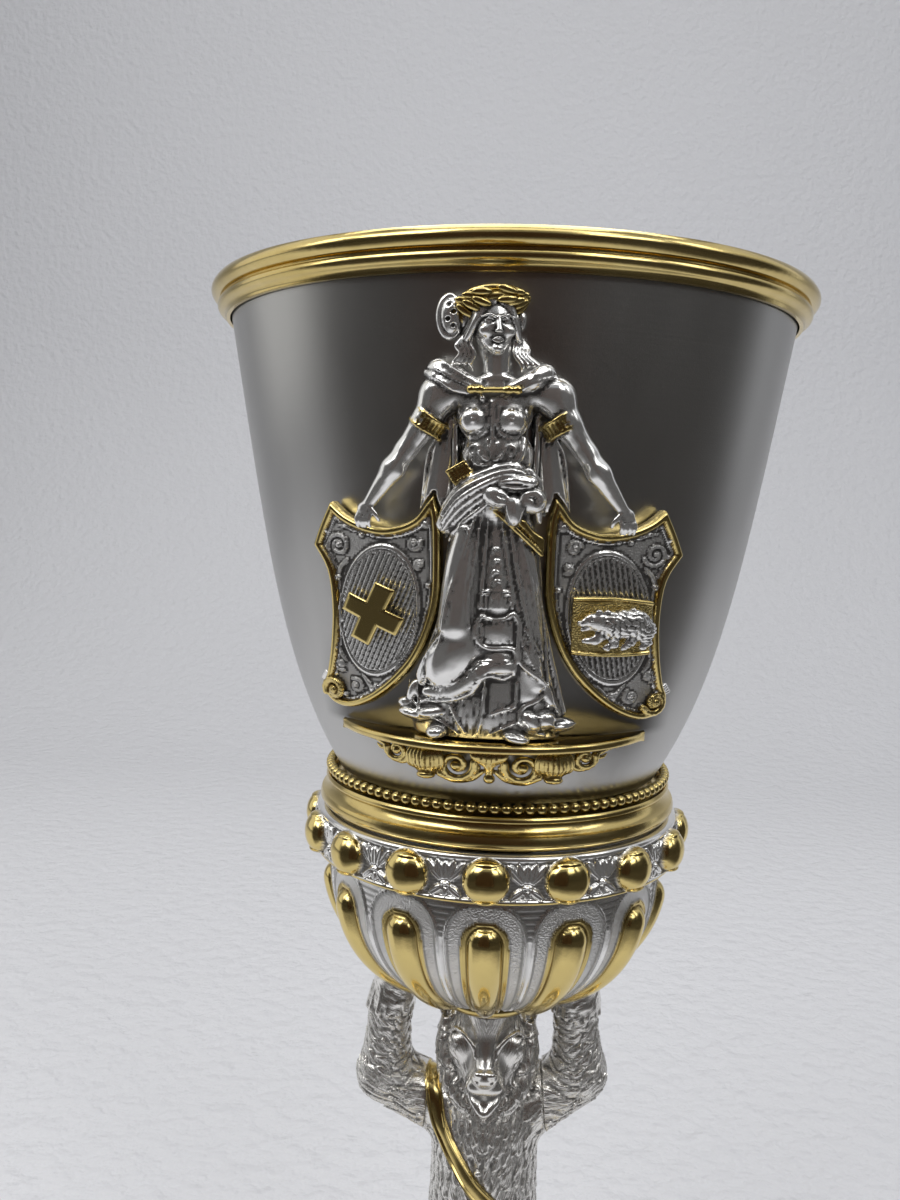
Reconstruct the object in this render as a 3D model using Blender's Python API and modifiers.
"""A parcel-gilt silver trophy cup: a flared beaker on a lobed calyx, held up by a standing bear on a domed foot.

Metres, +Z up, the table at z = 0, the cup's axis on Z, and the front of the cup facing -Y.
"""

import math

import bmesh
import bpy
from mathutils import Matrix, Vector

# Driving dimensions

GAP = 0.0003                # between faces that touch or are soldered
SEGMENTS = 40               # round the large turned pieces
SMALL_SEGMENTS = 20         # round the small ones

# The foot

FOOT_RADIUS = 0.0365
FOOT_RIM_HEIGHT = 0.0042
FOOT_DOME_RADIUS = 0.0315
FOOT_DOME_HEIGHT = 0.0164
FOOT_DOME_WALL = 0.0012
FOOT_LOBES = 16
FOOT_LOBE_SHARE = 0.68
FOOT_NECK_RADIUS = 0.0115
FOOT_COLLAR_RADIUS = 0.0127
FOOT_COLLAR_HEIGHT = 0.0026
FOOT_WIRE_RADIUS = 0.0008
FOOT_WIRE_INSET = 0.0026    # the wire's centre in from the rim's edge
MOUND_RADIUS = 0.0135
MOUND_HEIGHT = 0.0050

# The bear

BEAR_HEIGHT = 0.0764
SASH_WIDTH = 0.0026
SASH_RISE = 0.0008
SASH_SINK = 0.0006

# The calyx, its band of bosses, and the collar

RING_RADIUS = 0.0082
RING_HEIGHT = 0.0024
CALYX_RADIUS = 0.0256
CALYX_HEIGHT = 0.0232
CALYX_SHOULDER = 0.0036     # the upright part above the bowl
CALYX_WALL = 0.0012
CALYX_END_RADIUS = 0.0086
CALYX_LOBES = 13
CALYX_LOBE_SHARE = 0.56     # a lobe's width as a share of its pitch
LOBE_RISE = 0.0011
BAND_OVERHANG = 0.0028      # how far the band stands out past the calyx
BAND_LAP = 0.0010           # and how far in its bore lies
BAND_HEIGHT = 0.0065
BOSS_COUNT = 16
BOSS_WIDTH = 0.0054
BOSS_RISE = 0.0020
COLLAR_RADIUS = 0.0276
COLLAR_BORE = 0.0180
COLLAR_HEIGHT = 0.0046
COLLAR_LAP = 0.0007         # how far the collar reaches up past the beaker's floor
BEAD_RADIUS = 0.00078
BEAD_COUNT = 52

# The beaker and its lip

BEAKER_HEIGHT = 0.0720      # from its underside to the lip's widest line
WALL_BASE_RADIUS = 0.02338  # its outside at its underside
WALL_CURL_SHARE = 0.3721    # how much of the narrowing lies where the wall turns in to the floor
WALL_CURL_POWER = 4.93
WALL_THICKNESS = 0.0012
FLOOR_THICKNESS = 0.0015
FLOOR_EDGE_INSET = 0.00288  # the flat of the floor in from the wall's outside
LIP_RADIUS = 0.0450
LIP_HEIGHT = 0.0049
LIP_OVERHANG = 0.0027       # how far the lip stands out past the wall
LIP_CROWN = 0.0010          # how far the lip stands above its widest line
EDGE_DROP = 0.0008          # the beaker's edge below that line

# The fixings

STUD_RADIUS = 0.0020
STUD_GRIP = 0.0085          # how deep the stem's stud sits in the bear
NUT_ACROSS_FLATS = 0.0080
NUT_HEIGHT = 0.0035
SOCKET_RADIUS = 0.0060
SOCKET_LENGTH = 0.0110
BLIND_END = 0.0012          # metal left over the end of a blind bore
WASHER_RADIUS = 0.0070
WASHER_HEIGHT = 0.0010

# The ledge, the figure on it and the shields

LEDGE_ABOVE_FLOOR = 0.0125  # its top above the beaker's underside
LEDGE_THICKNESS = 0.0012
LEDGE_REACH = 0.0058        # out from the wall in the middle
LEDGE_HALF_LENGTH = 0.0194  # round the wall
FIGURE_HEIGHT = 0.0535
SHIELD_THICKNESS = 0.0019
SHIELD_FRAME_WIDTH = 0.0007
SHIELD_FRAME_RISE = 0.0006
OVAL_HALF_WIDTH = 0.0049
OVAL_HALF_HEIGHT = 0.0084
OVAL_RISE = 0.0004
CROSS_ARM = 0.0041
CROSS_HALF_WIDTH = 0.00125
CHARGE_THICKNESS = 0.0006

# Levels, from the table up

DOME_BOTTOM = FOOT_RIM_HEIGHT + GAP
DOME_TOP = DOME_BOTTOM + FOOT_DOME_HEIGHT
FOOT_COLLAR_BOTTOM = DOME_TOP + GAP
FOOT_COLLAR_TOP = FOOT_COLLAR_BOTTOM + FOOT_COLLAR_HEIGHT
MOUND_BOTTOM = FOOT_COLLAR_TOP + GAP
MOUND_TOP = MOUND_BOTTOM + MOUND_HEIGHT
BEAR_FEET = MOUND_TOP + GAP
BEAR_TOP = BEAR_FEET + BEAR_HEIGHT
RING_BOTTOM = BEAR_TOP + GAP
RING_TOP = RING_BOTTOM + RING_HEIGHT
CALYX_BOTTOM = RING_TOP + GAP
CALYX_TOP = CALYX_BOTTOM + CALYX_HEIGHT
CALYX_EQUATOR = CALYX_TOP - CALYX_SHOULDER
CALYX_DEPTH = (CALYX_EQUATOR - CALYX_BOTTOM) / math.sqrt(1 - (CALYX_END_RADIUS / CALYX_RADIUS) ** 2)
BAND_BOTTOM = CALYX_TOP + GAP
BAND_TOP = BAND_BOTTOM + BAND_HEIGHT
COLLAR_BOTTOM = BAND_TOP + GAP
COLLAR_TOP = COLLAR_BOTTOM + COLLAR_HEIGHT
BEAD_LEVEL = COLLAR_TOP + GAP + BEAD_RADIUS
FLOOR_UNDERSIDE = COLLAR_TOP - COLLAR_LAP
LEDGE_TOP = FLOOR_UNDERSIDE + LEDGE_ABOVE_FLOOR
LIP_LEVEL = FLOOR_UNDERSIDE + BEAKER_HEIGHT
EDGE_LEVEL = LIP_LEVEL - EDGE_DROP

BAND_RADIUS = CALYX_RADIUS + BAND_OVERHANG
BAND_BORE = CALYX_RADIUS - BAND_LAP
WALL_TOP_RADIUS = LIP_RADIUS - LIP_OVERHANG
FLOOR_EDGE_RADIUS = WALL_BASE_RADIUS - FLOOR_EDGE_INSET
BORE = STUD_RADIUS + GAP
SOCKET_TOP = FLOOR_UNDERSIDE - GAP
STUD_TOP = SOCKET_TOP - BLIND_END - GAP


def wall_radius(level):
    """Outside radius of the beaker at this height."""
    share = max(LIP_LEVEL - level, 0.0) / BEAKER_HEIGHT
    narrowing = (1 - WALL_CURL_SHARE) * share + WALL_CURL_SHARE * share**WALL_CURL_POWER
    return WALL_TOP_RADIUS - (WALL_TOP_RADIUS - WALL_BASE_RADIUS) * narrowing


def calyx_radius(level):
    """Outside radius of the calyx's bowl at this height, between its lobes."""
    share = min(max((CALYX_EQUATOR - level) / CALYX_DEPTH, 0.0), 1.0)
    return CALYX_RADIUS * math.sqrt(1 - share**2)


def dome_radius(level):
    """Outside radius of the foot's dome at this height, between its lobes."""
    share = min(max((level - DOME_BOTTOM) / FOOT_DOME_HEIGHT, 0.0), 1.0)
    return FOOT_NECK_RADIUS + (FOOT_DOME_RADIUS - FOOT_NECK_RADIUS) * math.sqrt(1 - share**1.6)


# Scene, collections and materials


def clear_scene():
    for old in list(bpy.data.objects):
        bpy.data.objects.remove(old)


def new_collection(name):
    made = bpy.data.collections.new(name)
    bpy.context.scene.collection.children.link(made)
    return made


clear_scene()
CUP = new_collection("trophy_cup")
CUTTERS = new_collection("cutters")

# Each finish is a base colour and a roughness

SILVER = (0.78, 0.77, 0.75), 0.25
SATIN_SILVER = (0.62, 0.61, 0.60), 0.38
DARK_SILVER = (0.46, 0.45, 0.43), 0.42
GILT = (0.85, 0.62, 0.24), 0.20
BRASS = (0.72, 0.55, 0.28), 0.35


def metal(name, finish):
    colour, roughness = finish
    made = bpy.data.materials.new(name)
    made.use_nodes = True
    shader = made.node_tree.nodes["Principled BSDF"]
    shader.inputs["Base Color"].default_value = (*colour, 1.0)
    shader.inputs["Metallic"].default_value = 1.0
    shader.inputs["Roughness"].default_value = roughness
    return made


# Building blocks


def object_from(name, bm, finish=None):
    """A named piece with its own metal, or a hidden cutter if it has no finish."""
    mesh = bpy.data.meshes.new(name)
    bmesh.ops.recalc_face_normals(bm, faces=bm.faces)
    bm.to_mesh(mesh)
    bm.free()
    made = bpy.data.objects.new(name, mesh)
    if finish:
        CUP.objects.link(made)
        mesh.materials.append(metal(name, finish))
    else:
        CUTTERS.objects.link(made)
        made.hide_render = True
        made.display_type = "WIRE"
    return made


def bake(obj):
    """Puts the result of the object's modifiers in place of its mesh, with every face turned out."""
    bpy.context.view_layer.update()
    evaluated = obj.evaluated_get(bpy.context.evaluated_depsgraph_get())
    bm = bmesh.new()
    bm.from_mesh(evaluated.to_mesh())
    bmesh.ops.remove_doubles(bm, verts=bm.verts, dist=1e-6)
    bmesh.ops.dissolve_degenerate(bm, dist=1e-6, edges=bm.edges)
    bmesh.ops.recalc_face_normals(bm, faces=bm.faces)
    obj.modifiers.clear()
    bm.to_mesh(obj.data)
    bm.free()
    return obj


def shade(obj, angle=40):
    obj.data.shade_smooth()
    obj.data.set_sharp_from_angle(angle=math.radians(angle))
    return obj


def turn(name, profile, finish=None, steps=SEGMENTS):
    """A turned piece. The profile's (radius, level) points run down its outer side and back up its inner one."""
    bm = bmesh.new()
    points = [bm.verts.new((radius, 0, level)) for radius, level in profile]
    meets_axis = profile[0][0] == 0 and profile[-1][0] == 0
    for first, second in zip(points, points[1:] + ([] if meets_axis else points[:1])):
        bm.edges.new((first, second))
    made = object_from(name, bm, finish)
    screw = made.modifiers.new("turn", "SCREW")
    screw.steps = screw.render_steps = steps
    screw.use_merge_vertices = True
    screw.merge_threshold = 1e-6
    return shade(bake(made))


def combine(obj, other, operation):
    """Joins another solid to obj, or cuts it away."""
    boolean = obj.modifiers.new(f"{operation.lower()} {other.name}", "BOOLEAN")
    boolean.operation = operation
    boolean.solver = "EXACT"
    boolean.object = other
    return bake(obj)


def rod(name, radius, low, high, finish=None, sides=16):
    bm = bmesh.new()
    bmesh.ops.create_cone(
        bm, cap_ends=True, segments=sides, radius1=radius, radius2=radius, depth=high - low,
        matrix=Matrix.Translation((0, 0, (low + high) / 2)),
    )
    return shade(object_from(name, bm, finish))


def add_ball(bm, centre, radii, around=12, rings=8, turned=Matrix.Identity(4)):
    """A closed ellipsoid in bm."""
    matrix = Matrix.Translation(centre) @ turned @ Matrix.Diagonal((*radii, 1.0))
    return bmesh.ops.create_uvsphere(bm, u_segments=around, v_segments=rings, radius=1.0, matrix=matrix)["verts"]


def add_limb(bm, start, end):
    """The hull of two ellipsoids, each given as x, y, z and its three radii."""
    verts = add_ball(bm, start[:3], start[3:])
    if start == end:
        return
    verts += add_ball(bm, end[:3], end[3:])
    hull = bmesh.ops.convex_hull(bm, input=verts, use_existing_faces=False)
    inside = set(hull["geom_interior"] + hull["geom_unused"])
    bmesh.ops.delete(bm, geom=[item for item in inside if isinstance(item, bmesh.types.BMVert)], context="VERTS")


def cast(name, limbs, finish, grain, triangles):
    """A cast form: limbs in metres joined to one skin, softened, and thinned to about so many triangles."""
    bm = bmesh.new()
    for start, end in limbs:
        add_limb(bm, start, end)
    made = object_from(name, bm, finish)
    skin = made.modifiers.new("one skin", "REMESH")
    skin.mode = "VOXEL"
    skin.voxel_size = grain
    soften = made.modifiers.new("soften", "SMOOTH")
    soften.factor = 0.6
    soften.iterations = 3
    bake(made)
    thin = made.modifiers.new("thin out", "DECIMATE")
    thin.ratio = min(1.0, triangles / (2 * len(made.data.polygons)))
    return bake(made)


def halve(obj, point, normal):
    """Cuts away what lies on the side that the normal points to, and closes the cut with a flat face."""
    bm = bmesh.new()
    bm.from_mesh(obj.data)
    everything = bm.verts[:] + bm.edges[:] + bm.faces[:]
    bmesh.ops.bisect_plane(bm, geom=everything, dist=1e-7, plane_co=point, plane_no=normal, clear_outer=True)
    bmesh.ops.holes_fill(bm, edges=[edge for edge in bm.edges if edge.is_boundary])
    bmesh.ops.triangulate(bm, faces=[face for face in bm.faces if len(face.verts) > 4])
    bmesh.ops.recalc_face_normals(bm, faces=bm.faces)
    bm.to_mesh(obj.data)
    bm.free()
    return obj


def flat_back(obj, off, step=0.0045):
    """Cuts a flat relief off at this height above the wall, and divides its back so that it can bend."""
    halve(obj, (0, -off, 0), (0, 1, 0))
    bm = bmesh.new()
    bm.from_mesh(obj.data)
    back = [face for face in bm.faces if all(abs(vert.co.y + off) < 1e-6 for vert in face.verts)]
    slice_evenly(bm, step, back)
    bmesh.ops.triangulate(bm, faces=[face for face in bm.faces if len(face.verts) > 3])
    bm.to_mesh(obj.data)
    bm.free()


def wrap_on_wall(obj):
    """Bends a relief on to the beaker: X is the length round the wall, -Y the height off it, Z the level."""
    for vert in obj.data.vertices:
        length, rise, level = vert.co.x, -vert.co.y, vert.co.z
        around = length / wall_radius(level)
        reach = wall_radius(level) + GAP + rise
        vert.co = (reach * math.sin(around), -reach * math.cos(around), level)
    obj.data.update()
    return shade(obj, 50)


def slice_evenly(bm, step, faces):
    """Cuts these faces along a grid in X and Z, so that they can bend."""
    for axis in (0, 2):
        places = [vert.co[axis] for face in faces for vert in face.verts]
        low, high = min(places), max(places)
        count = max(1, math.ceil((high - low) / step))
        normal = Vector((axis == 0, 0, axis == 2))
        for k in range(1, count):
            place = normal * (low + (high - low) * k / count)
            geometry = set(faces)
            for face in faces:
                geometry.update(face.edges, face.verts)
            cut = bmesh.ops.bisect_plane(bm, geom=list(geometry), dist=1e-6, plane_co=place, plane_no=normal)
            faces = [item for item in cut["geom"] if isinstance(item, bmesh.types.BMFace)]


def plate(name, outline, low, high, finish=None, frame=0.0, sunk=0.0, step=0.0055):
    """A plate cut to an outline in X and Z, from low to high off the wall, with a raised frame if it has one."""
    bm = bmesh.new()
    face = bm.faces.new([bm.verts.new((x, -low, z)) for x, z in outline])
    face.normal_update()
    if face.normal.y > 0:
        face.normal_flip()
    grown = bmesh.ops.extrude_face_region(bm, geom=[face])["geom"]
    front = [item for item in grown if isinstance(item, bmesh.types.BMVert)]
    bmesh.ops.translate(bm, verts=front, vec=(0, low - high, 0))
    if frame:
        top = [item for item in grown if isinstance(item, bmesh.types.BMFace)]
        bmesh.ops.inset_region(bm, faces=top, thickness=frame, use_even_offset=True)
        bmesh.ops.inset_region(bm, faces=top, thickness=sunk / 4, depth=-sunk, use_even_offset=True)
    slice_evenly(bm, step, bm.faces[:])
    bmesh.ops.triangulate(bm, faces=[face for face in bm.faces if len(face.verts) > 4])
    return object_from(name, bm, finish)


def grown_outline(outline, by):
    """The outline moved out by this much, with its corners kept sharp."""
    area = sum(a[0] * b[1] - b[0] * a[1] for a, b in zip(outline, outline[1:] + outline[:1]))
    outwards = math.copysign(by, area)
    moved = []
    for k, here in enumerate(outline):
        into = (Vector(here) - Vector(outline[k - 1])).normalized()
        away = (Vector(outline[(k + 1) % len(outline)]) - Vector(here)).normalized()
        normal = (Vector((into.y, -into.x)) + Vector((away.y, -away.x))).normalized()
        moved.append(tuple(Vector(here) + normal * outwards / max(normal.dot(Vector((into.y, -into.x))), 0.4)))
    return moved


def smooth_path(points, per_span):
    """Points along a smooth closed curve through these ones."""
    count = len(points)
    path = []
    for k in range(count):
        before, here, there, after = (Vector(points[(k + j) % count]) for j in (-1, 0, 1, 2))
        for t in (step / per_span for step in range(per_span)):
            path.append(0.5 * (
                2 * here + (there - before) * t
                + (2 * before - 5 * here + 4 * there - after) * t**2
                + (3 * here - 3 * there + after - before) * t**3
            ))
    return path


def round_wire(name, radius, level, thickness, points, finish, swell=1.0):
    """A closed round wire, a curve with a bevel. A swell under 1 narrows every second point, for beads."""
    data = bpy.data.curves.new(name, "CURVE")
    data.dimensions = "3D"
    data.bevel_depth = thickness
    data.bevel_resolution = 0
    spline = data.splines.new("POLY")
    spline.points.add(points - 1)
    spline.use_cyclic_u = True
    for k, point in enumerate(spline.points):
        angle = 2 * math.pi * k / points
        point.co = (radius * math.sin(angle), -radius * math.cos(angle), level, 1)
        point.radius = swell if k % 2 else 1.0
    wire = bpy.data.objects.new(f"{name}_curve", data)
    CUTTERS.objects.link(wire)
    bpy.context.view_layer.update()
    bm = bmesh.new()
    bm.from_mesh(wire.evaluated_get(bpy.context.evaluated_depsgraph_get()).to_mesh())
    bpy.data.objects.remove(wire)
    bmesh.ops.remove_doubles(bm, verts=bm.verts, dist=1e-6)
    return shade(object_from(name, bm, finish))


# The beaker and its lip


def build_beaker():
    floor_top = FLOOR_UNDERSIDE + FLOOR_THICKNESS
    inner_shares = (0.085, 0.2, 0.48)
    outer_shares = (0.70, 0.42, 0.24, 0.12, 0.03)

    def level(share):
        return FLOOR_UNDERSIDE + BEAKER_HEIGHT * share

    profile = [(0.0, floor_top), (FLOOR_EDGE_RADIUS, floor_top)]
    profile += [(wall_radius(level(share)) - WALL_THICKNESS, level(share)) for share in inner_shares]
    profile += [(wall_radius(EDGE_LEVEL) - WALL_THICKNESS, EDGE_LEVEL), (wall_radius(EDGE_LEVEL), EDGE_LEVEL)]
    profile += [(wall_radius(level(share)), level(share)) for share in outer_shares]
    profile += [(FLOOR_EDGE_RADIUS, FLOOR_UNDERSIDE), (0.0, FLOOR_UNDERSIDE)]
    turn("beaker", profile, SATIN_SILVER)


def build_lip():
    top = LIP_LEVEL + LIP_CROWN
    bottom = top - LIP_HEIGHT
    mouth = wall_radius(EDGE_LEVEL) - WALL_THICKNESS
    seat_low = wall_radius(bottom) + GAP
    seat_top = wall_radius(EDGE_LEVEL) + GAP
    profile = [
        (mouth, top - 0.0006),
        (mouth + 0.0010, top),
        (LIP_RADIUS - 0.0010, top - 0.0002),
        (LIP_RADIUS, LIP_LEVEL),
        (LIP_RADIUS - 0.0013, LIP_LEVEL - 0.0016),
        (LIP_RADIUS - 0.0011, LIP_LEVEL - 0.0025),
        (seat_low + 0.0008, bottom),
        (seat_low, bottom),
        (seat_top, EDGE_LEVEL + GAP),
        (mouth, EDGE_LEVEL + GAP),
    ]
    turn("lip_moulding", profile, GILT)


# The collar, the band of bosses and the calyx


def build_collar():
    seat = wall_radius(COLLAR_TOP) + GAP
    profile = [
        (seat, COLLAR_TOP),
        (COLLAR_RADIUS - 0.0010, COLLAR_TOP),
        (COLLAR_RADIUS - 0.0010, COLLAR_BOTTOM + COLLAR_HEIGHT * 0.66),
        (COLLAR_RADIUS - 0.0002, COLLAR_BOTTOM + COLLAR_HEIGHT * 0.46),
        (COLLAR_RADIUS, COLLAR_BOTTOM + COLLAR_HEIGHT * 0.24),
        (COLLAR_RADIUS - 0.0007, COLLAR_BOTTOM),
        (COLLAR_BORE, COLLAR_BOTTOM),
        (COLLAR_BORE, SOCKET_TOP),
        (seat, SOCKET_TOP),
    ]
    turn("collar", profile, GILT)
    beads_at = wall_radius(BEAD_LEVEL + BEAD_RADIUS) + GAP + BEAD_RADIUS
    round_wire("bead_ring", beads_at, BEAD_LEVEL, BEAD_RADIUS, 2 * BEAD_COUNT, GILT, swell=0.55)


def build_boss_band():
    profile = [
        (BAND_RADIUS - 0.0004, BAND_TOP),
        (BAND_RADIUS, BAND_TOP - 0.0007),
        (BAND_RADIUS - 0.0002, BAND_BOTTOM + 0.0012),
        (BAND_RADIUS - 0.0002, BAND_BOTTOM),
        (BAND_BORE, BAND_BOTTOM),
        (BAND_BORE, BAND_TOP),
    ]
    band = turn("boss_band", profile, SILVER, steps=2 * BOSS_COUNT)
    sink = 0.0003
    bm = bmesh.new()
    for k in range(BOSS_COUNT):
        angle = 2 * math.pi * k / BOSS_COUNT
        centre = Vector((math.sin(angle), -math.cos(angle), 0)) * (BAND_RADIUS - sink)
        centre.z = (BAND_TOP + BAND_BOTTOM) / 2
        radii = (BOSS_WIDTH / 2, BOSS_RISE + sink, BOSS_WIDTH / 2)
        add_ball(bm, centre, radii, around=8, rings=5, turned=Matrix.Rotation(angle, 4, "Z"))
    shade(combine(band, object_from("bosses", bm), "UNION"), 50)


CALYX_LOBE_STEPS = 8        # steps round the shell for each lobe
FOOT_LOBE_STEPS = 6


def lobe_height(angle, along, count, share):
    """A lobe's height, from 0 at its edge to 1. along runs from 0 at its round end to 1 at its point."""
    if not 0 < along < 1:
        return 0.0
    across = abs((angle * count / (2 * math.pi) + 0.5) % 1.0 - 0.5) * 2
    round_end = math.sqrt(1 - (1 - min(along / 0.16, 1.0)) ** 2)
    width = share * round_end * (1 - 0.1 * along)
    fade = min(8 * (1 - along), 1.0)
    return fade * math.sqrt(1 - (across / width) ** 2) if across < width else 0.0


def raise_lobes(obj, radius_at, start, end, lean, count, share):
    """Pushes the outside of a turned shell out into lobes, from their round ends to their points."""
    for vert in obj.data.vertices:
        if math.hypot(vert.co.x, vert.co.y) < radius_at(vert.co.z) - 0.0002:
            continue
        angle = math.atan2(vert.co.x, -vert.co.y)
        out = Vector((math.sin(angle), -math.cos(angle), lean)).normalized()
        along = (start - vert.co.z) / (start - end)
        vert.co += out * lobe_height(angle, along, count, share) * LOBE_RISE
    obj.data.update()
    shade(obj, 60)


BOWL_TURNS = 6              # steps down the bowl's outside


def bowl_profile(offset, turns):
    """Points down the calyx's quarter ellipse, moved in by offset."""
    last = math.acos(CALYX_END_RADIUS / CALYX_RADIUS)
    return [(
        (CALYX_RADIUS - offset) * math.cos(last * k / turns),
        CALYX_EQUATOR - (CALYX_DEPTH - offset) * math.sin(last * k / turns),
    ) for k in range(turns + 1)]


def build_calyx():
    floor_top = CALYX_BOTTOM + CALYX_WALL
    profile = [(CALYX_RADIUS, CALYX_TOP)] + bowl_profile(0.0, BOWL_TURNS)
    profile += [(BORE, CALYX_BOTTOM), (BORE, floor_top), (CALYX_END_RADIUS, floor_top)]
    profile += bowl_profile(CALYX_WALL, 3)[-2::-1]
    profile += [(CALYX_RADIUS - CALYX_WALL, CALYX_TOP)]
    calyx = turn("calyx", profile, SILVER, steps=CALYX_LOBE_STEPS * CALYX_LOBES)
    raise_lobes(calyx, calyx_radius, CALYX_EQUATOR, CALYX_BOTTOM, -0.5, CALYX_LOBES, CALYX_LOBE_SHARE)


def build_calyx_ring():
    chamfer = RING_HEIGHT * 0.3
    profile = [
        (BORE, RING_TOP),
        (RING_RADIUS - chamfer, RING_TOP),
        (RING_RADIUS, RING_TOP - chamfer),
        (RING_RADIUS, RING_BOTTOM + chamfer),
        (RING_RADIUS - chamfer, RING_BOTTOM),
        (BORE, RING_BOTTOM),
    ]
    turn("calyx_ring", profile, GILT, steps=SMALL_SEGMENTS)


# What holds the stack together


def hex_nut(name, low):
    bm = bmesh.new()
    corners = NUT_ACROSS_FLATS / math.sqrt(3)
    bmesh.ops.create_cone(
        bm, cap_ends=True, segments=6, radius1=corners, radius2=corners, depth=NUT_HEIGHT,
        matrix=Matrix.Translation((0, 0, low + NUT_HEIGHT / 2)),
    )
    nut = object_from(name, bm, BRASS)
    combine(nut, rod(f"{name}_bore", BORE, low - 0.001, low + NUT_HEIGHT + 0.001), "DIFFERENCE")
    return shade(nut)


def build_fixings():
    rod("stem_stud", STUD_RADIUS, BEAR_TOP - STUD_GRIP, STUD_TOP, BRASS)
    hex_nut("calyx_nut", CALYX_BOTTOM + CALYX_WALL + GAP)
    socket = [
        (0.0, SOCKET_TOP),
        (SOCKET_RADIUS, SOCKET_TOP),
        (SOCKET_RADIUS, SOCKET_TOP - SOCKET_LENGTH),
        (BORE, SOCKET_TOP - SOCKET_LENGTH),
        (BORE, STUD_TOP + GAP),
        (0.0, STUD_TOP + GAP),
    ]
    turn("beaker_socket", socket, BRASS, steps=16)
    washer_top = DOME_TOP - FOOT_DOME_WALL - GAP
    washer_low = washer_top - WASHER_HEIGHT
    washer = [(BORE, washer_top), (WASHER_RADIUS, washer_top), (WASHER_RADIUS, washer_low), (BORE, washer_low)]
    turn("foot_washer", washer, BRASS, steps=16)
    nut_low = washer_low - GAP - NUT_HEIGHT
    hex_nut("foot_nut", nut_low)
    rod("foot_stud", STUD_RADIUS, nut_low - 0.0015, MOUND_TOP - BLIND_END, BRASS)


# The bear. Its limbs are in millimetres above its own feet, for a bear of the drawn height

BEAR_DRAWN_HEIGHT = 76.4
BEAR_GRAIN = BEAR_HEIGHT / 110
SHOULDER_SEAM = (9.4, 58.5)                     # where the arms are joined: out from the axis, and up
ELBOWS = {-1: (2.9, 63.4), 1: (1.1, 66.0)}      # each arm's elbow: out past its paw, and up
WRISTS = {-1: (1.3, 74.4), 1: (-0.5, 74.4)}
PAW_LEVEL = 80.6
PAW_RADIUS = 3.6


def both_sides(start, end):
    """A limb and its mirror image."""
    return [(start, end), ((-start[0], *start[1:]), (-end[0], *end[1:]))]


def bear_place(*measures):
    """A point on the drawn bear, and its radii if given, in metres on the cup."""
    scaled = [value * BEAR_HEIGHT / BEAR_DRAWN_HEIGHT for value in measures]
    scaled[2] += BEAR_FEET
    return tuple(scaled)


def bear_body_limbs():
    chest = (0, 0.8, 55, 9.6, 7.6, 7)
    belly = (0, -0.6, 35, 9.8, 8.8, 8)
    hips = (0, 1.0, 21, 9.4, 8.6, 7)
    limbs = [
        (chest, belly),
        (belly, hips),
        ((0, 0.8, 58, 6.8, 6.2, 5), (0, 0.4, 66, 6.4, 6.2, 5)),
        ((-7.2, 0.6, 58.3, 4.4, 5.2, 4.4), (7.2, 0.6, 58.3, 4.4, 5.2, 4.4)),
        ((0, 0.2, 69.4, 7.0, 6.8, 7.0), (0, 0.2, 69.4, 7.0, 6.8, 7.0)),
        ((0, 0.6, 72, 5.0, 5.2, 4), (0, 0.8, 75.2, 5.0, 5.0, 3)),
        ((0, -3.6, 66.0, 4.0, 3.6, 3.6), (0, -8.6, 64.2, 2.5, 2.2, 2.3)),
        ((0, -3.2, 62.0, 3.2, 3.0, 2.2), (0, -7.0, 61.4, 1.9, 1.8, 1.3)),
        ((0, 7.4, 20, 2.4, 2.6, 2.4), (0, 9.4, 18, 1.7, 1.7, 1.7)),
    ]
    limbs += both_sides((3.7, -1.6, 66, 3.8, 4.2, 5.0), (4.2, -0.4, 61.5, 3.6, 4.6, 4.4))
    limbs += both_sides((5.7, 1.4, 73.2, 2.1, 1.4, 1.9), (6.2, 1.2, 74.2, 1.8, 1.2, 1.6))
    limbs += both_sides((2.6, -4.9, 70.4, 1.9, 1.8, 1.3), (4.6, -3.8, 71.4, 1.5, 1.8, 1.2))
    limbs += both_sides((5.0, 0.4, 21, 5.8, 7.2, 6.8), (6.2, 1.0, 8, 4.5, 5.2, 4.8))
    limbs += both_sides((6.2, 1.8, 2.2, 4.2, 4.4, 3.6), (7.0, -6.6, 1.4, 3.8, 3.8, 3.2))
    return [(bear_place(*start), bear_place(*end)) for start, end in limbs]


def bear_arm_limbs(side):
    """One raised arm: side is -1 for the left of the view and 1 for the right."""
    paw = bear_place(0, -0.4, PAW_LEVEL, PAW_RADIUS, PAW_RADIUS * 1.1, PAW_RADIUS)
    reach = calyx_radius(paw[2]) + LOBE_RISE + paw[3] * 0.35

    def beyond_paw(out, *measures):
        place = bear_place(side * out, *measures)
        return (place[0] + side * reach, *place[1:])

    shoulder = bear_place(side * 8.4, 0.6, 58.3, 4.8, 5.2, 5.0)
    elbow = beyond_paw(ELBOWS[side][0], 0.6, ELBOWS[side][1], 4.1, 4.6, 4.4)
    wrist = beyond_paw(WRISTS[side][0], 0.0, WRISTS[side][1], 3.2, 3.4, 3.1)
    paw = (side * reach, *paw[1:])
    limbs = [(shoulder, elbow), (elbow, wrist), (wrist, paw)]
    for spread in (-1, 0, 1):
        knuckle = (paw[0], paw[1] + spread * paw[4] * 0.62, paw[2] + paw[5] * 0.4, *(paw[3] * 0.5,) * 3)
        tip = (paw[0] - side * paw[3] * 0.1, knuckle[1] * 1.1, paw[2] + paw[5] * 1.0, *(paw[3] * 0.34,) * 3)
        limbs.append((knuckle, tip))
    return limbs


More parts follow.
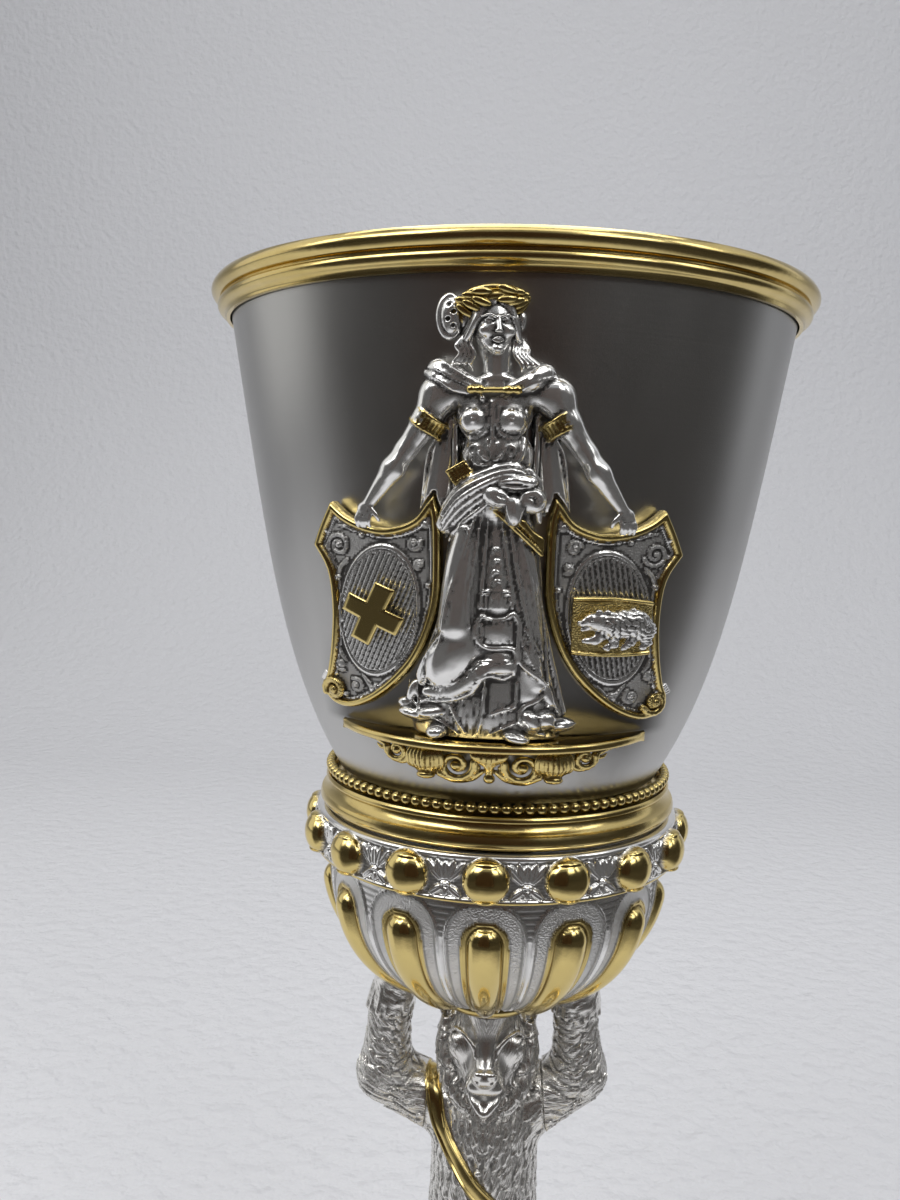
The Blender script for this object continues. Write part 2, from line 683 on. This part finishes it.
def sash_route(body):
    """Where the sash lies on the bear, with the way out of the fur there: from over one shoulder to the other hip."""
    stations = [
        ((-7.7, 0.6, 57), (-0.15, 0.0, 1.0)),
        ((-7.6, 0.6, 57), (-0.1, -1.0, 0.4)),
        ((-7.3, 0.6, 53), (0.0, -1.0, 0.0)),
        ((-5.1, 0.0, 50), (0.0, -1.0, 0.0)),
        ((-1.7, 0.0, 45.6), (0.0, -1.0, 0.0)),
        ((2.2, 0.0, 40.5), (0.2, -1.0, 0.0)),
        ((3.5, 0.0, 35.5), (0.7, -0.7, 0.0)),
        ((3.0, 0.0, 32.5), (1.0, 0.0, 0.0)),
        ((3.5, 0.0, 35.5), (0.7, 0.7, 0.0)),
        ((2.2, 0.0, 41), (0.2, 1.0, 0.0)),
        ((-1.7, 0.0, 47), (0.0, 1.0, 0.0)),
        ((-5.4, 0.0, 53), (0.0, 1.0, 0.0)),
        ((-7.5, 0.6, 57), (-0.1, 1.0, 0.4)),
    ]
    places, normals = [], []
    for anchor, out in stations:
        _, place, normal, _ = body.ray_cast(bear_place(*anchor), out)
        places.append(place)
        normals.append(normal)
    return smooth_path(places, 2), smooth_path(normals, 2)


def sash_strip(name, route, grown, finish=None):
    """A flat strip along the route. grown thickens it on every side."""
    places, normals = route
    bm = bmesh.new()
    rings = []
    for k, (place, normal) in enumerate(zip(places, normals)):
        along = places[(k + 1) % len(places)] - places[k - 1]
        out = normal.normalized()
        across = along.cross(out).normalized() * (SASH_WIDTH / 2 + grown)
        high, low = out * (SASH_RISE + grown), out * -(SASH_SINK + grown)
        rings.append([bm.verts.new(place + corner) for corner in (low - across, low + across, high + across,
                                                                  high - across)])
    for first, second in zip(rings, rings[1:] + rings[:1]):
        for j in range(4):
            bm.faces.new((first[j], first[j - 3], second[j - 3], second[j]))
    return shade(object_from(name, bm, finish))


def build_bear():
    body = cast("bear_body", bear_body_limbs(), DARK_SILVER, BEAR_GRAIN, 1050)
    halve(body, (0, 0, BEAR_TOP), (0, 0, 1))
    halve(body, (0, 0, BEAR_FEET), (0, 0, -1))
    seam_out, _, seam_level = bear_place(SHOULDER_SEAM[0], 0, SHOULDER_SEAM[1])
    for side in (-1, 1):
        halve(body, (side * seam_out, 0, seam_level), (side, 0, 0.1))
    route = sash_route(body)
    groove = sash_strip("sash_groove", route, GAP)
    sash_strip("sash", route, 0.0, GILT)
    combine(body, rod("bear_bore", BORE, BEAR_TOP - STUD_GRIP - GAP, BEAR_TOP + 0.002), "DIFFERENCE")
    shade(combine(body, groove, "DIFFERENCE"), 60)
    outside = [(CALYX_RADIUS + GAP, CALYX_TOP)] + bowl_profile(-GAP, BOWL_TURNS)
    seat = [(0.0, CALYX_TOP)] + outside + [(RING_RADIUS + GAP, RING_BOTTOM), (0.0, RING_BOTTOM)]
    calyx_seat = turn("calyx_seat", seat, steps=CALYX_LOBE_STEPS * CALYX_LOBES)
    raise_lobes(calyx_seat, calyx_radius, CALYX_EQUATOR, CALYX_BOTTOM, -0.5, CALYX_LOBES, CALYX_LOBE_SHARE)
    for side, name in ((-1, "bear_right_arm"), (1, "bear_left_arm")):
        arm = cast(name, bear_arm_limbs(side), DARK_SILVER, BEAR_GRAIN * 0.86, 420)
        halve(arm, (side * (seam_out + GAP), 0, seam_level), (-side, 0, -0.1))
        combine(arm, calyx_seat, "DIFFERENCE")
        shade(combine(arm, groove, "DIFFERENCE"), 60)


# The foot


def build_foot():
    mound = [
        (0.0, MOUND_TOP),
        (MOUND_RADIUS - 0.0020, MOUND_TOP),
        (MOUND_RADIUS - 0.0003, MOUND_TOP - MOUND_HEIGHT * 0.3),
        (MOUND_RADIUS, MOUND_TOP - MOUND_HEIGHT * 0.7),
        (MOUND_RADIUS - 0.0006, MOUND_BOTTOM),
        (BORE, MOUND_BOTTOM),
        (BORE, MOUND_TOP - BLIND_END + GAP),
        (0.0, MOUND_TOP - BLIND_END + GAP),
    ]
    turn("mound", mound, DARK_SILVER, steps=SMALL_SEGMENTS)
    chamfer = FOOT_COLLAR_HEIGHT * 0.3
    collar = [
        (BORE, FOOT_COLLAR_TOP),
        (FOOT_COLLAR_RADIUS - chamfer, FOOT_COLLAR_TOP),
        (FOOT_COLLAR_RADIUS, FOOT_COLLAR_TOP - chamfer),
        (FOOT_COLLAR_RADIUS, FOOT_COLLAR_BOTTOM + chamfer),
        (FOOT_COLLAR_RADIUS - chamfer, FOOT_COLLAR_BOTTOM),
        (BORE, FOOT_COLLAR_BOTTOM),
    ]
    turn("foot_collar", collar, GILT, steps=SMALL_SEGMENTS)
    build_dome()
    inner = FOOT_DOME_RADIUS - FOOT_DOME_WALL
    rim = [
        (inner, FOOT_RIM_HEIGHT),
        (FOOT_RADIUS - 0.0012, FOOT_RIM_HEIGHT),
        (FOOT_RADIUS - 0.0011, FOOT_RIM_HEIGHT * 0.8),
        (FOOT_RADIUS - 0.0001, FOOT_RIM_HEIGHT * 0.6),
        (FOOT_RADIUS, FOOT_RIM_HEIGHT * 0.3),
        (FOOT_RADIUS - 0.0008, 0.0),
        (inner, 0.0),
    ]
    turn("foot_rim", rim, GILT)
    wire_level = FOOT_RIM_HEIGHT + GAP + FOOT_WIRE_RADIUS
    round_wire("foot_wire", FOOT_RADIUS - FOOT_WIRE_INSET, wire_level, FOOT_WIRE_RADIUS, SEGMENTS, GILT)


def build_dome():
    def level(share):
        return DOME_BOTTOM + FOOT_DOME_HEIGHT * share

    under = DOME_TOP - FOOT_DOME_WALL
    profile = [(BORE, DOME_TOP), (FOOT_NECK_RADIUS, DOME_TOP)]
    profile += [(dome_radius(level(share)), level(share)) for share in (0.93, 0.76, 0.52, 0.28, 0.09, 0.0)]
    profile += [(FOOT_DOME_RADIUS - FOOT_DOME_WALL, DOME_BOTTOM)]
    profile += [(dome_radius(level(share)) - FOOT_DOME_WALL * 1.2, level(share) - FOOT_DOME_WALL * 0.6)
                for share in (0.6,)]
    profile += [(FOOT_NECK_RADIUS - FOOT_DOME_WALL, under), (BORE, under)]
    dome = turn("foot_dome", profile, SILVER, steps=FOOT_LOBE_STEPS * FOOT_LOBES)
    raise_lobes(dome, dome_radius, level(0.03), level(0.97), 0.7, FOOT_LOBES, FOOT_LOBE_SHARE)


# The reliefs on the beaker's wall, in millimetres: round the wall, out from it, and up. The levels are
# those that they have on a cup whose ledge lies at the drawn one

DRAWN_LEDGE = 155.5
RELIEF_SIZE = FIGURE_HEIGHT / 53.5              # metres for each drawn millimetre of figure and shields
SCROLL_SIZE = LEDGE_HALF_LENGTH / 19.4          # and of the scrollwork


def wall_place(measures, size=RELIEF_SIZE, off=0.0):
    """A point and its radii on the flat relief, in metres, from millimetres round, out and up."""
    round_wall, out, level, *radii = measures
    return (round_wall * size, -off - out * size, LEDGE_TOP + (level - DRAWN_LEDGE) * size,
            *(r * size for r in radii))


def wall_outline(corners):
    """An outline's corners in metres, from millimetres round the wall and up."""
    return [(x * RELIEF_SIZE, LEDGE_TOP + (z - DRAWN_LEDGE) * RELIEF_SIZE) for x, z in corners]


def figure_limbs():
    chest = (0, 2.2, 195.6, 4.2, 2.4, 3.0)
    waist = (0.2, 2.0, 190.2, 3.4, 2.2, 2.4)
    hips = (0, 2.2, 185.5, 4.6, 2.6, 2.6)
    head_turned = 0.3
    limbs = [
        ((0.1, 2.5, 205.4, 2.6, 2.6, 3.1), (head_turned, 3.2, 203.2, 1.6, 1.8, 1.9)),
        ((0, 1.4, 205.4, 3.2, 2.5, 3.0), (0, 1.8, 207.2, 3.2, 2.8, 1.5)),
        ((-4.2, 1.0, 206.6, 1.1, 1.2, 1.4), (-4.3, 1.0, 205.4, 1.0, 1.1, 1.3)),
        ((-2.8, 1.4, 204, 0.9, 1.2, 1.0), (-3.9, 1.6, 200.9, 1.0, 1.1, 1.0)),
        ((2.8, 1.4, 204, 0.9, 1.2, 1.0), (3.4, 1.6, 200.7, 1.0, 1.1, 1.0)),
        ((0, 1.9, 202, 1.6, 1.6, 1.2), (0, 1.7, 199.4, 2.1, 1.7, 1.3)),
        ((-6.2, 1.5, 198.6, 1.9, 2.0, 1.9), (6.1, 1.5, 198.6, 1.9, 2.0, 1.9)),
        (chest, waist),
        (waist, hips),
        ((0, 1.6, 184, 5.0, 2.4, 2.0), (-0.8, 1.2, 163, 6.4, 2.6, 3.0)),
        ((-0.8, 1.2, 163, 6.4, 2.6, 3.0), (-0.6, 1.6, 156, 9.2, 2.6, 2.0)),
        ((-3.2, 2.6, 182, 1.7, 2.2, 2.0), (-4.4, 3.4, 168, 2.2, 2.2, 2.6)),
        ((-4.4, 3.4, 168, 2.2, 2.2, 2.6), (-5.2, 3.0, 158, 2.0, 2.0, 2.0)),
        ((0.2, 3.6, 182, 0.9, 1.0, 1.0), (0.4, 4.0, 172, 1.0, 1.1, 1.0)),
        ((2.6, 3.4, 183, 0.9, 1.0, 1.0), (3.6, 3.4, 165, 1.0, 1.1, 1.0)),
        ((4.6, 2.6, 181, 0.8, 1.0, 1.0), (6.2, 2.6, 158, 1.1, 1.2, 1.0)),
        ((-1.6, 3.2, 163, 0.8, 1.0, 1.0), (-2.2, 3.4, 157, 0.9, 1.1, 1.0)),
        ((0.8, 3.2, 163, 0.8, 1.0, 1.0), (1.2, 3.4, 157, 0.9, 1.1, 1.0)),
        ((-7.2, 1.6, 168, 0.8, 1.2, 1.0), (-9.2, 1.8, 158, 1.4, 1.4, 1.4)),
        ((-5.7, 4.2, 156.6, 1.2, 1.9, 1.3), (-5.7, 4.2, 156.6, 1.2, 1.9, 1.3)),
        ((3.5, 4.2, 156.6, 1.3, 1.9, 1.3), (3.5, 4.2, 156.6, 1.3, 1.9, 1.3)),
        ((-4.0, 2.8, 185.2, 1.7, 2.0, 1.5), (3.4, 3.2, 187.4, 1.5, 1.9, 1.3)),
        ((2.4, 4.2, 185.8, 1.9, 1.4, 1.5), (2.4, 4.2, 184.4, 1.5, 1.3, 1.4)),
    ]
    for side in (-1, 1):
        shoulder = (side * 6.9, 1.9, 196.9, 1.9, 1.9, 1.9)
        elbow = (side * 10.1, 2.4, 190.6, 1.5, 1.5, 1.5)
        wrist = (side * 14.2, 3.5, 184.9, 1.0, 1.0, 1.0)
        hand = (side * 15.0, 3.6, 182.8, 1.4, 1.0, 1.3)
        limbs += [
            (shoulder, elbow), (elbow, wrist), (wrist, hand),
            ((side * 2.0, 3.4, 194.3, 1.8, 1.7, 1.8), (side * 2.0, 3.4, 194.3, 1.8, 1.7, 1.8)),
            ((side * 6.3, 0.7, 196.6, 1.8, 1.2, 2.0), (side * 7.4, 0.5, 187.2, 1.8, 1.1, 2.0)),
        ]
    return [(wall_place(start), wall_place(end)) for start, end in limbs]


def shield_outline(side):
    """The shield's outline: scrolled corners, waisted sides and a curled foot."""
    corners = [
        (19.6, 185.0), (17.6, 183.4), (15.0, 182.3), (12.2, 182.0), (9.4, 183.2), (7.8, 185.2), (6.9, 186.2),
        (6.2, 184.8), (6.0, 180.0), (6.1, 175.0), (7.0, 170.0), (8.8, 165.6), (11.6, 161.8), (14.8, 159.0),
        (18.2, 157.6), (20.6, 157.9), (22.2, 159.4), (22.2, 161.4), (21.0, 163.4), (20.2, 167.0),
        (19.9, 171.5), (20.4, 176.0), (22.4, 179.4), (21.0, 182.4),
    ]
    return wall_outline([(side * x, z) for x, z in corners])


def oval_outline(side):
    """The oval field, leaning out a little at its foot."""
    centre = Vector(wall_outline([(side * 13.8, 171.3)])[0])
    lean = Matrix.Rotation(side * math.radians(8), 2)
    points = 20
    angles = [2 * math.pi * k / points for k in range(points)]
    return [tuple(centre + lean @ Vector((OVAL_HALF_WIDTH * math.cos(a), OVAL_HALF_HEIGHT * math.sin(a))))
            for a in angles]


def cross_outline():
    """A couped cross, leaning as its shield does."""
    centre = Vector(wall_outline([(-13.9, 171.1)])[0])
    lean = Matrix.Rotation(math.radians(-24), 2)
    arm, half = CROSS_ARM, CROSS_HALF_WIDTH
    corners = [(-half, arm), (half, arm), (half, half), (arm, half), (arm, -half), (half, -half)]
    return [tuple(centre + lean @ Vector(corner)) for corner in corners + [(-x, -z) for x, z in corners]]


def band_outline():
    """The shield's bar, bowed a little, between two edges of the oval."""
    left, right, low, high = 9.0, 18.2, 167.0, 174.3
    corners = [(left, low + 0.3), (13.6, low), (right, low - 0.2), (right, high - 0.4), (13.6, high), (left, high)]
    return wall_outline(corners)


FIELD = SHIELD_THICKNESS - SHIELD_FRAME_RISE
OVAL_FACE = FIELD + OVAL_RISE
CHARGE_BACK = OVAL_FACE + GAP
CHARGE_FACE = CHARGE_BACK + CHARGE_THICKNESS


def build_shield(name, side, figure):
    outline = shield_outline(side)
    shield = plate(name, outline, 0.0, SHIELD_THICKNESS, SILVER, frame=SHIELD_FRAME_WIDTH, sunk=SHIELD_FRAME_RISE)
    combine(shield, plate(f"{name}_oval", oval_outline(side), FIELD / 2, OVAL_FACE), "UNION")
    clear = plate(f"{name}_clearance", grown_outline(outline, GAP), -0.001, SHIELD_THICKNESS + GAP)
    combine(figure, clear, "DIFFERENCE")
    wrap_on_wall(shield)


def band_bear_limbs():
    """The small bear that walks to the left on the bar."""
    mid = 0.25
    body = (14.2, mid, 171.2, 1.9, 0.7, 1.15)
    rump = (16.2, mid, 170.9, 1.2, 0.65, 1.2)
    limbs = [
        (body, rump),
        ((12.6, mid, 171.3, 1.1, 0.65, 1.1), body),
        ((11.3, mid, 172.0, 0.8, 0.6, 0.8), (12.6, mid, 171.5, 0.9, 0.6, 0.9)),
        ((10.4, mid, 171.6, 0.4, 0.45, 0.4), (11.3, mid, 171.9, 0.7, 0.55, 0.6)),
    ]
    for hip, foot in ((12.4, 11.7), (13.6, 13.8), (15.9, 15.5), (16.9, 17.0)):
        limbs.append(((hip, mid, 170.6, 0.6, 0.55, 0.7), (foot, mid, 168.5, 0.5, 0.5, 0.4)))
    off = CHARGE_FACE + GAP
    return [(wall_place(start, off=off), wall_place(end, off=off)) for start, end in limbs]


def build_figure_and_shields():
    figure = cast("figure", figure_limbs(), SILVER, FIGURE_HEIGHT / 127, 1200)
    halve(figure, (0, 0, LEDGE_TOP + GAP), (0, 0, -1))
    build_shield("cross_shield", -1, figure)
    build_shield("bear_shield", 1, figure)
    flat_back(figure, 0.0)
    wrap_on_wall(figure)
    wrap_on_wall(plate("cross_charge", cross_outline(), CHARGE_BACK, CHARGE_FACE, GILT))
    wrap_on_wall(plate("bear_band", band_outline(), CHARGE_BACK, CHARGE_FACE, GILT))
    bear = cast("band_bear", band_bear_limbs(), SILVER, FIGURE_HEIGHT / 243, 180)
    flat_back(bear, CHARGE_FACE + GAP)
    wrap_on_wall(bear)


# The ledge, and the scrollwork that carries it


def build_ledge():
    wall = wall_radius(LEDGE_TOP) + GAP
    half_angle = LEDGE_HALF_LENGTH / wall
    end_x, end_y = wall * math.sin(half_angle), wall * math.cos(half_angle)
    rise = wall + LEDGE_REACH - end_y
    arc = (end_x**2 + rise**2) / (2 * rise)
    arc_centre = wall + LEDGE_REACH - arc
    spread = math.atan2(end_x, end_y - arc_centre)
    steps = 14
    outline = []
    for k in range(steps + 1):
        angle = spread * (2 * k / steps - 1)
        outline.append((arc * math.sin(angle), -arc_centre - arc * math.cos(angle)))
    for k in range(1, steps):
        angle = half_angle * (1 - 2 * k / steps)
        outline.append((wall * math.sin(angle), -wall * math.cos(angle)))
    bm = bmesh.new()
    face = bm.faces.new([bm.verts.new((x, y, LEDGE_TOP - LEDGE_THICKNESS)) for x, y in outline])
    grown = bmesh.ops.extrude_face_region(bm, geom=[face])["geom"]
    top = [item for item in grown if isinstance(item, bmesh.types.BMVert)]
    bmesh.ops.translate(bm, verts=top, vec=(0, 0, LEDGE_THICKNESS))
    bmesh.ops.triangulate(bm, faces=[face for face in bm.faces if len(face.verts) > 4])
    shade(object_from("ledge", bm, GILT))


def ledge_scroll_limbs():
    limbs = [((-11.5, 0.6, 153.6, 1.0, 0.9, 0.7), (11.5, 0.6, 153.6, 1.0, 0.9, 0.7))]
    limbs.append(((0, 1.2, 152.6, 1.5, 1.2, 1.4), (0, 0.8, 149.6, 0.8, 0.9, 0.9)))
    for side in (-1, 1):
        limbs += [
            ((side * 3.4, 1.0, 151.8, 1.6, 1.1, 1.7), (side * 1.6, 1.0, 150.8, 0.8, 0.9, 0.8)),
            ((side * 7.0, 1.6, 153.0, 1.5, 1.9, 0.9), (side * 6.8, 0.8, 150.6, 1.2, 1.0, 0.9)),
            ((side * 11.6, 0.9, 153.0, 1.6, 1.1, 1.1), (side * 9.2, 0.7, 152.4, 0.9, 0.9, 0.8)),
            ((side * 13.2, 0.7, 153.6, 0.9, 0.8, 0.7), (side * 11.6, 0.7, 153.6, 0.9, 0.8, 0.7)),
        ]
    return [(wall_place(start, SCROLL_SIZE), wall_place(end, SCROLL_SIZE)) for start, end in limbs]


def build_ledge_scroll():
    scroll = cast("ledge_scroll", ledge_scroll_limbs(), GILT, LEDGE_HALF_LENGTH / 57, 260)
    halve(scroll, (0, 0, LEDGE_TOP - LEDGE_THICKNESS - GAP), (0, 0, 1))
    flat_back(scroll, 0.0)
    wrap_on_wall(scroll)


def main():
    build_beaker()
    build_lip()
    build_collar()
    build_boss_band()
    build_calyx()
    build_calyx_ring()
    build_fixings()
    build_bear()
    build_foot()
    build_figure_and_shields()
    build_ledge()
    build_ledge_scroll()


main()
